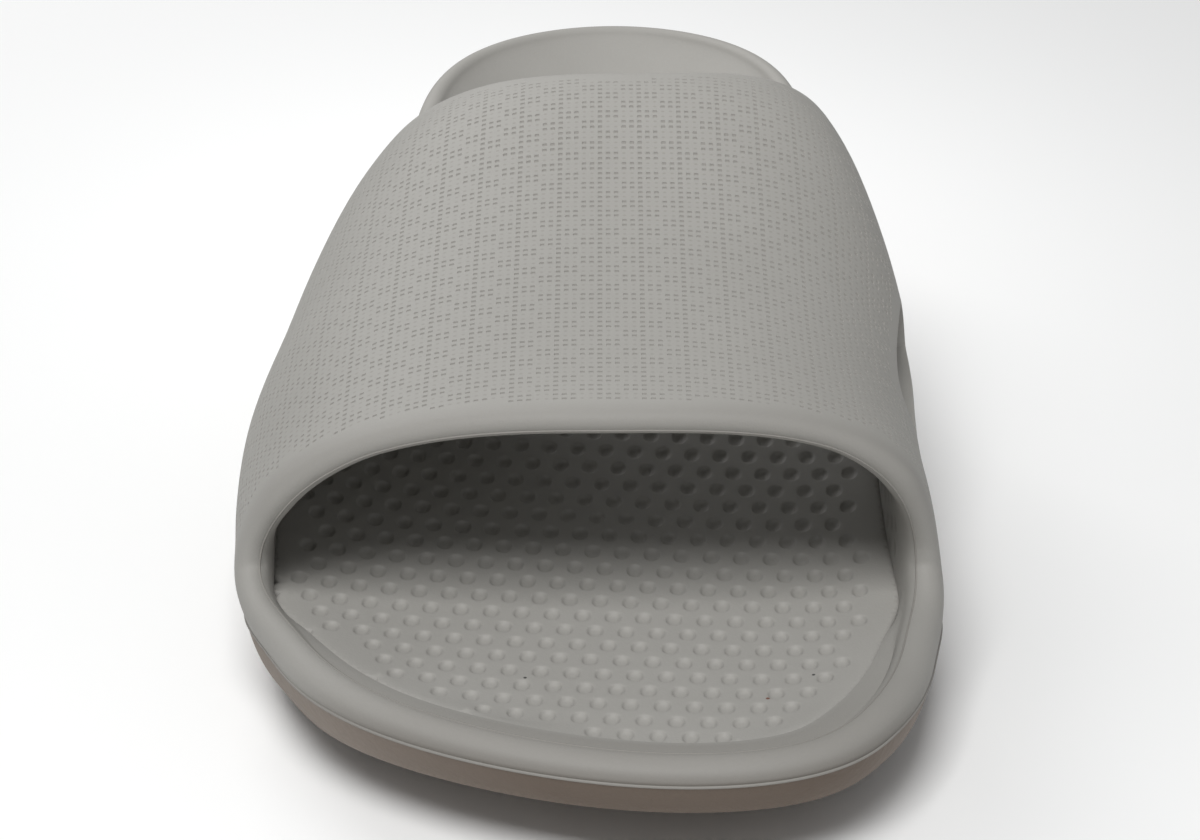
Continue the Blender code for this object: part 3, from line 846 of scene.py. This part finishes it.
# Closes the band between whole bricks and the outline with triangles, and lays all of it on the CAD's top.
# The edge stands a little past the CAD outline, so its height is read just inside.
def closeBand(sheet, loop, inside, surface):
    places = placesOf(sheet)
    bricks = [tuple(p.vertices) for p in sheet.data.polygons]
    plane = BVHTree.FromPolygons([Vector((x, y, 0)) for x, y, z in places], bricks)
    border = borderOf(bricks)
    used = sorted({v for edge in border for v in edge})
    spots = [Vector(places[v][:2]) for v in used]
    order = {v: n for n, v in enumerate(used)}
    edges = [(order[a], order[b]) for a, b in border]
    step, spread = bedShape["edgeStep"], bedShape["spread"]
    middle = loop.mean(axis=0)[:2]
    first = len(spots)
    edge, second, reads = [], [], {}
    for at in range(0, len(loop) - step, step):
        spot = loop[at, :2]
        along = loop[(at + step) % (len(loop) - 1), :2] - loop[at - step, :2]
        out = np.array((along[1], -along[0])) / np.linalg.norm(along)
        out *= np.sign(out @ (spot - middle))
        edge.append(Vector(spot + out * spread))
        reads[first + len(edge) - 1] = spot + (spot - np.array(edge[-1])) * 2
        second.append(Vector(spot - out * bedShape["bandLine"]))
    spots += edge
    edges += [(first + n, first + (n + 1) % len(edge)) for n in range(len(edge))]
    spots += [spot for spot in second if plane.find_nearest(spot.to_3d())[3] > bedShape["clear"]]
    made = geometry.delaunay_2d_cdt(spots, edges, [], 0, 1e-8)
    sources = [came[0] if came else None for came in made[3]]
    numbers = [used[source] if source is not None and source < len(used) else len(places) + n
               for n, source in enumerate(sources)]
    band = []
    for face in made[2]:
        centre = sum((made[0][n] for n in face), Vector((0, 0))) / 3
        if plane.find_nearest(centre.to_3d())[3] > 1e-7 and inside(centre, -1):
            band.append(tuple(numbers[n] for n in face))
    print("footbed:", len(bricks), "bricks,", len(band), "triangles round them")
    whole = newPiece("footbedBand", list(places) + [spot.to_3d() for spot in made[0]], bricks + band)
    heightAt = [place[:2] for place in places]
    heightAt += [reads.get(source, spot) for source, spot in zip(sources, made[0])]
    for vertex, (x, y) in zip(whole.data.vertices, heightAt):
        hit = surface.ray_cast(Vector((x, y, bedShape["rayFrom"])), Vector((0, 0, -1)))[0]
        vertex.co.z = (hit or surface.find_nearest(Vector((x, y, bedShape["searchZ"])))[0]).z
    bpy.data.objects.remove(sheet)
    editAll(whole)
    bpy.ops.mesh.delete_loose()
    bpy.ops.mesh.select_all(action="SELECT")
    bpy.ops.mesh.normals_make_consistent(inside=False)
    objectMode()
    return whole


def makeFootbed():
    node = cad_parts["footbed"]
    surface = surfaceOf(node)
    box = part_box("footbed")
    loop = outlineOf(node)

    def inside(place, margin):
        level = np.flatnonzero((loop[:-1, 1] - place[1]) * (loop[1:, 1] - place[1]) <= 0)
        if len(level) < 2 or not loop[level, 0].min() < place[0] < loop[level, 0].max():
            return False
        return np.min(np.hypot(loop[:, 0] - place[0], loop[:, 1] - place[1])) > margin

    clearSelection()
    sheet = brickSheet(bedShape["columns"], bedShape["rows"])
    turn = math.radians(bedShape["turn"])
    middle = (box[0] + box[1]) / 2
    x, y, z = placesOf(sheet).T
    turned = np.column_stack((x * math.cos(turn) - y * math.sin(turn) + middle.x,
                              x * math.sin(turn) + y * math.cos(turn) + middle.y, z))
    setPlaces(sheet, turned)
    dropFaces(sheet, lambda face: all(inside(turned[v], bedShape["border"]) for v in face.vertices))
    sheet = closeBand(sheet, loop, inside, surface)
    sheet.name = sheet.data.name = "footbedDimpled"
    addModifier(sheet, "SOLIDIFY", thickness=bedShape["thickness"], offset=-1)
    sinkDimples(sheet, lambda face: face.normal.z > 0.5 and len(face.vertices) == 6)
    creaseCorners(sheet.data, bedShape["creaseAngle"], bedShape["crease"])
    addModifier(sheet, "SUBSURF", levels=1, render_levels=1)
    sheet.data.shade_smooth()
    return sheet


footbed = makeFootbed()
print("footbed:", trianglesOf(footbed), "triangles")

soleShape = {
    "smoothing": 2,
    "creaseAngle": 32, "crease": 0.9,
    "ledgeAt": (0.0150, -0.1424, 0.0170),   # upper edge of the sidewall at the toe
    "limit": 2.2,                           # pairs more skewed than this stay triangles
    "smoothAngle": 38,
}
sole = copyOfNode("sole", "outsole", soleShape["creaseAngle"], soleShape["crease"], soleShape["limit"])
print("ledge loop:", markLoop(sole, soleShape["ledgeAt"], (1, 0, 0), 1.0), "edges")
addModifier(sole, "SUBSURF", levels=soleShape["smoothing"], render_levels=soleShape["smoothing"])
pick(sole)
bpy.ops.object.shade_smooth_by_angle(angle=math.radians(soleShape["smoothAngle"]))
print("sole:", trianglesOf(sole), "triangles")


# Materials

def makeGroup(name, inputs, outputs):
    group = bpy.data.node_groups.new(name, "ShaderNodeTree")
    for label, kind, value in inputs:
        socket = group.interface.new_socket(name=label, in_out="INPUT", socket_type=kind)
        if value is not None:
            socket.default_value = value
    for label, kind in outputs:
        group.interface.new_socket(name=label, in_out="OUTPUT", socket_type=kind)
    return group, group.nodes.new("NodeGroupInput"), group.nodes.new("NodeGroupOutput")


# Gives a socket a number, a colour or what comes out of another node
def feed(tree, socket, value):
    if isinstance(value, (int, float)):
        socket.default_value = value
    elif isinstance(value, tuple):
        socket.default_value = (*value, 1)
    else:
        tree.links.new(value, socket)


def newNode(tree, kind):
    return tree.nodes.new("ShaderNode" + kind)


# The three numbers of a place
def partsOf(tree, value):
    node = newNode(tree, "SeparateXYZ")
    tree.links.new(value, node.inputs[0])
    return node.outputs


def mathNode(tree, operation, a, b=None):
    node = newNode(tree, "Math")
    node.operation = operation
    feed(tree, node.inputs[0], a)
    if b is not None:
        feed(tree, node.inputs[1], b)
    return node.outputs[0]


def rangeNode(tree, value, low, high, toLow, toHigh, kind="LINEAR"):
    node = newNode(tree, "MapRange")
    node.interpolation_type = kind
    for label, number in (("From Min", low), ("From Max", high), ("To Min", toLow), ("To Max", toHigh)):
        node.inputs[label].default_value = number
    tree.links.new(value, node.inputs["Value"])
    return node.outputs[0]


def groupNode(tree, group):
    node = newNode(tree, "Group")
    node.node_tree = group
    return node


# How far a place is from the middle of its cell, both ways stretched
def awayNode(tree, x, y, stretchX, stretchY):
    squares = []
    for value, stretch in ((x, stretchX), (y, stretchY)):
        away = mathNode(tree, "SUBTRACT", mathNode(tree, "FRACT", value), 0.5)
        away = mathNode(tree, "MULTIPLY", away, stretch)
        squares.append(mathNode(tree, "MULTIPLY", away, away))
    return mathNode(tree, "SQRT", mathNode(tree, "ADD", squares[0], squares[1]))


# Moulded foam skin: a height for the bump, a slow mottle and a fine speckle
def foamSkinGroup():
    group, into, out = makeGroup(
        "foamSkin",
        (("Vector", "NodeSocketVector", None), ("Grain", "NodeSocketFloat", 2200.0),
         ("Pebble", "NodeSocketFloat", 700.0), ("Pebble share", "NodeSocketFloat", 0.5)),
        (("Height", "NodeSocketFloat"), ("Mottle", "NodeSocketFloat"), ("Speckle", "NodeSocketFloat")))
    grain = newNode(group, "TexNoise")
    pebble = newNode(group, "TexVoronoi")
    pebble.feature = "SMOOTH_F1"
    mottle = newNode(group, "TexNoise")
    for node, settings in ((grain, {"Detail": 2}), (pebble, {"Smoothness": 0.6}),
                           (mottle, {"Scale": 38, "Detail": 4})):
        group.links.new(into.outputs["Vector"], node.inputs["Vector"])
        for label, value in settings.items():
            node.inputs[label].default_value = value
    group.links.new(into.outputs["Grain"], grain.inputs["Scale"])
    group.links.new(into.outputs["Pebble"], pebble.inputs["Scale"])
    pebbled = mathNode(group, "MULTIPLY", pebble.outputs["Distance"], into.outputs["Pebble share"])
    height = mathNode(group, "SUBTRACT", grain.outputs["Fac"], pebbled)
    for value, label in ((height, "Height"), (mottle.outputs["Fac"], "Mottle"),
                         (grain.outputs["Fac"], "Speckle")):
        group.links.new(value, out.inputs[label])
    return group


foamSkin = foamSkinGroup()


def mixColours(tree, factor, a, b):
    node = newNode(tree, "Mix")
    node.data_type = "RGBA"
    feed(tree, node.inputs["Factor"], factor)
    for label, value in (("A", a), ("B", b)):
        feed(tree, next(s for s in node.inputs if s.name == label and s.type == "RGBA"), value)
    return next(s for s in node.outputs if s.type == "RGBA")


# Round dimples in a half-step bond, from a place counted in dimples: 1 in them, 0 between them
def dimpleGroup():
    group, into, out = makeGroup("dimplePattern", (("Place", "NodeSocketVector", None),),
                                 (("Dimple", "NodeSocketFloat"),))
    parts = partsOf(group, into.outputs["Place"])
    row = mathNode(group, "FLOOR", parts["Y"])
    shift = mathNode(group, "MULTIPLY", mathNode(group, "MODULO", mathNode(group, "ABSOLUTE", row), 2.0), 0.5)
    shifted = mathNode(group, "ADD", parts["X"], shift)
    away = awayNode(group, shifted, parts["Y"], 1.0, dimples["along"] / dimples["across"])
    group.links.new(rangeNode(group, away, *dimples["painted"], 1, 0, "SMOOTHSTEP"), out.inputs["Dimple"])
    return group


dimplePattern = dimpleGroup()


def attributeNode(tree, name, output):
    node = newNode(tree, "Attribute")
    node.attribute_name = name
    return node.outputs[output]


def foamMaterial(name, look):
    material = bpy.data.materials.new(name)
    material.use_nodes = True
    tree = material.node_tree
    shader = tree.nodes["Principled BSDF"]
    place = newNode(tree, "TexCoord")
    skin = groupNode(tree, foamSkin)
    tree.links.new(place.outputs["Object"], skin.inputs["Vector"])
    for label in ("Grain", "Pebble", "Pebble share"):
        skin.inputs[label].default_value = look[label]
    colour = mixColours(tree, skin.outputs["Mottle"], look["dark"], look["light"])
    speck = mathNode(tree, "MULTIPLY", skin.outputs["Speckle"], look["speckle"])
    colour = mixColours(tree, speck, colour, look["speckleAndShadeColour"])
    height = skin.outputs["Height"]
    # Painted shade on the floor of each pit
    if look.get("pitFloorShade"):
        grid = newNode(tree, "UVMap")
        grid.uv_map = "pitGrid"
        parts = partsOf(tree, grid.outputs["UV"])
        away = awayNode(tree, parts["X"], parts["Y"], *look["dotStretch"])
        dot = rangeNode(tree, away, *look["dotRadii"], look["pitFloorShade"], 0, "SMOOTHSTEP")
        colour = mixColours(tree, dot, colour, look["speckleAndShadeColour"])
    # Painted shade on the rim and the rolled edges, by the share that layShares laid
    if look.get("rimShadeColour"):
        rimShadeAmount = mathNode(tree, "MULTIPLY", attributeNode(tree, "paintedRimShade", "Fac"), look["rimShadeStrength"])
        colour = mixColours(tree, rimShadeAmount, colour, look["rimShadeColour"])
        pattern = groupNode(tree, dimplePattern)
        tree.links.new(attributeNode(tree, "liningPlace", "Vector"), pattern.inputs["Place"])
        lined = attributeNode(tree, "liningShare", "Fac")
        dimple = mathNode(tree, "MULTIPLY", pattern.outputs["Dimple"], lined)
        height = mathNode(tree, "ADD", height, mathNode(tree, "MULTIPLY", dimple, look["liningHeight"]))
        # Painted shade in the middle of each lining dimple
        colour = mixColours(tree, mathNode(tree, "MULTIPLY", dimple, look["liningDimpleShade"]), colour,
                            look["speckleAndShadeColour"])
    # Painted shade that darkens the sidewall towards the toe front
    if look.get("toeShade"):
        start, full = look["toeShadeFrom"]
        along = partsOf(tree, place.outputs["Object"])["Y"]
        toeShadeMix = rangeNode(tree, along, full, start, look["toeShadeShare"], 0)
        colour = mixColours(tree, toeShadeMix, colour, look["toeShade"])
    plan = newNode(tree, "VectorMath")
    plan.operation = "MULTIPLY"
    plan.inputs[1].default_value = (1, 1, 0)
    tree.links.new(place.outputs["Object"], plan.inputs[0])
    for (x, y), radius, tint in look.get("marks", ()):
        apart = newNode(tree, "VectorMath")
        apart.operation = "DISTANCE"
        tree.links.new(plan.outputs[0], apart.inputs[0])
        apart.inputs[1].default_value = (x, y, 0)
        core = radius * look["markCore"]
        speck = rangeNode(tree, apart.outputs["Value"], core, radius, look["markShare"], 0)
        colour = mixColours(tree, speck, colour, tint)
    tree.links.new(colour, shader.inputs["Base Color"])
    tree.links.new(rangeNode(tree, skin.outputs["Mottle"], 0, 1, *look["rough"]), shader.inputs["Roughness"])
    shader.inputs["Specular IOR Level"].default_value = look["specular"]
    bump = newNode(tree, "Bump")
    bump.inputs["Strength"].default_value = look["bump"]
    bump.inputs["Distance"].default_value = look["bumpDepth"]
    tree.links.new(height, bump.inputs["Height"])
    tree.links.new(bump.outputs["Normal"], shader.inputs["Normal"])
    return material


greyFoam = {
    "dark": (0.305, 0.296, 0.276), "light": (0.350, 0.341, 0.320),
    # The speckle colour also serves as the painted shade in the pits and the lining dimples
    "speckle": 0.10, "speckleAndShadeColour": (0.20, 0.19, 0.17),
    # A darker dot of painted shade on the floor of each pit
    "pitFloorShade": 0.35, "dotStretch": (0.8, 1.0), "dotRadii": (0.10, 0.24),   # the floor of each pit, darker
    "Grain": 2600.0, "Pebble": 900.0, "Pebble share": 0.6,
    "rough": (0.58, 0.72), "specular": 0.40, "bump": 0.35, "bumpDepth": 0.00010,
    # The rim's painted shade colour and strength, and the lining's bump with its painted dimple shade
    "rimShadeColour": (0.160, 0.146, 0.128), "rimShadeStrength": 0.90, "liningHeight": -7.0, "liningDimpleShade": 0.35,
}
bedFoam = {**greyFoam, "pitFloorShade": 0.0, "rough": (0.55, 0.70), "rimShadeColour": None,
           # The footbed's colours are a lighter copy of the grey foam: painted light that makes up for the
           # light the strap and rim keep off it
           "dark": (0.340, 0.330, 0.308), "light": (0.390, 0.380, 0.357),
           "markCore": 0.6, "markShare": 0.9,
           "marks": (((0.0289, -0.1128), 0.00040, (0.16, 0.055, 0.03)),
                     ((0.0364, -0.1063), 0.00034, (0.03, 0.03, 0.03)),
                     ((-0.0091, -0.1056), 0.00034, (0.03, 0.03, 0.03)))}
wallFoam = {**greyFoam, "pitFloorShade": 0.0, "rimShadeColour": None,
            "dark": (0.235, 0.200, 0.172), "light": (0.285, 0.247, 0.215), "speckle": 0.45,
            "speckleAndShadeColour": (0.19, 0.155, 0.13),
            # Painted shade on the sidewall towards the toe front
            "toeShade": (0.142, 0.111, 0.088), "toeShadeFrom": (-0.116, -0.138), "toeShadeShare": 0.97,
            "Grain": 1500.0, "Pebble": 620.0, "Pebble share": 1.2, "rough": (0.70, 0.85),
            "specular": 0.30, "bump": 0.6, "bumpDepth": 0.00022}

strapMaterial = foamMaterial("greyFoamSkin", greyFoam)
bedMaterial = foamMaterial("greyFootbedFoam", bedFoam)
wallMaterial = foamMaterial("roughSidewallFoam", wallFoam)

for piece, material, slot in ((upper, strapMaterial, "upper_foam"), (innerBead, strapMaterial, "upper_foam"),
                              (baseBead, strapMaterial, "upper_foam"), (footbed, bedMaterial, "footbed_foam"),
                              (sole, wallMaterial, "outsole_foam")):
    piece.data.materials.clear()
    piece.data.materials.append(material)
    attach(piece, "root")
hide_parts("upper")
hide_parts("footbed")
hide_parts("sole")
print("materials set")

# Floor, light and camera
clearSelection()
studio = {
    "floorSize": 6, "floorZ": -0.0001, "floorColour": (0.92, 0.92, 0.915, 1), "floorRoughness": 0.9,
    "world": (0.97, 0.985, 1.0), "worldStrength": 0.285,
    "lamps": (
        ("key", "AREA", (-0.10, -0.54, 0.84), (0.0, -0.02, 0.03), 6.9, {"size": 0.42}),
        ("behind", "AREA", (-0.35, 0.60, 0.60), (0.0, -0.02, 0.03), 2.9, {"size": 0.5}),
        ("heel", "SPOT", (0.0, -0.25, 0.70), (0.0, 0.125, 0.04), 5.6,
         {"spot_size": math.radians(22), "spot_blend": 1.0, "shadow_soft_size": 0.08}),
    ),
}
bpy.ops.mesh.primitive_plane_add(size=studio["floorSize"], location=(0, 0, studio["floorZ"]))
floor = bpy.context.object
floor.name = "paleFloor"
floorMaterial = bpy.data.materials.new("paleFloor")
floorMaterial.use_nodes = True
floorShader = floorMaterial.node_tree.nodes["Principled BSDF"]
floorShader.inputs["Base Color"].default_value = studio["floorColour"]
floorShader.inputs["Roughness"].default_value = studio["floorRoughness"]
floor.data.materials.append(floorMaterial)

world = bpy.data.worlds.new("studio")
world.use_nodes = True
sky = world.node_tree.nodes["Background"]
sky.inputs["Color"].default_value = (*studio["world"], 1)
sky.inputs["Strength"].default_value = studio["worldStrength"]
bpy.context.scene.world = world
for name, kind, place, aim, power, settings in studio["lamps"]:
    lamp = bpy.data.lights.new(name, kind)
    lamp.energy = power
    for key, value in settings.items():
        setattr(lamp, key, value)
    stand = bpy.data.objects.new(name, lamp)
    stand.location = place
    stand.rotation_euler = (Vector(aim) - Vector(place)).to_track_quat("-Z", "Y").to_euler()
    link(stand)

cameraSetup = {"place": (0.00273, -0.5594, 0.2623), "pitch": 24, "lens": 97.8, "sensor": 36}
lens = bpy.data.cameras.new("photoView")
lens.lens = cameraSetup["lens"]
lens.sensor_width = cameraSetup["sensor"]
camera = bpy.data.objects.new("photoView", lens)
camera.location = cameraSetup["place"]
camera.rotation_euler = (math.radians(90 - cameraSetup["pitch"]), 0, 0)
link(camera)
bpy.context.scene.camera = camera
bpy.context.scene.view_settings.view_transform = "Standard"
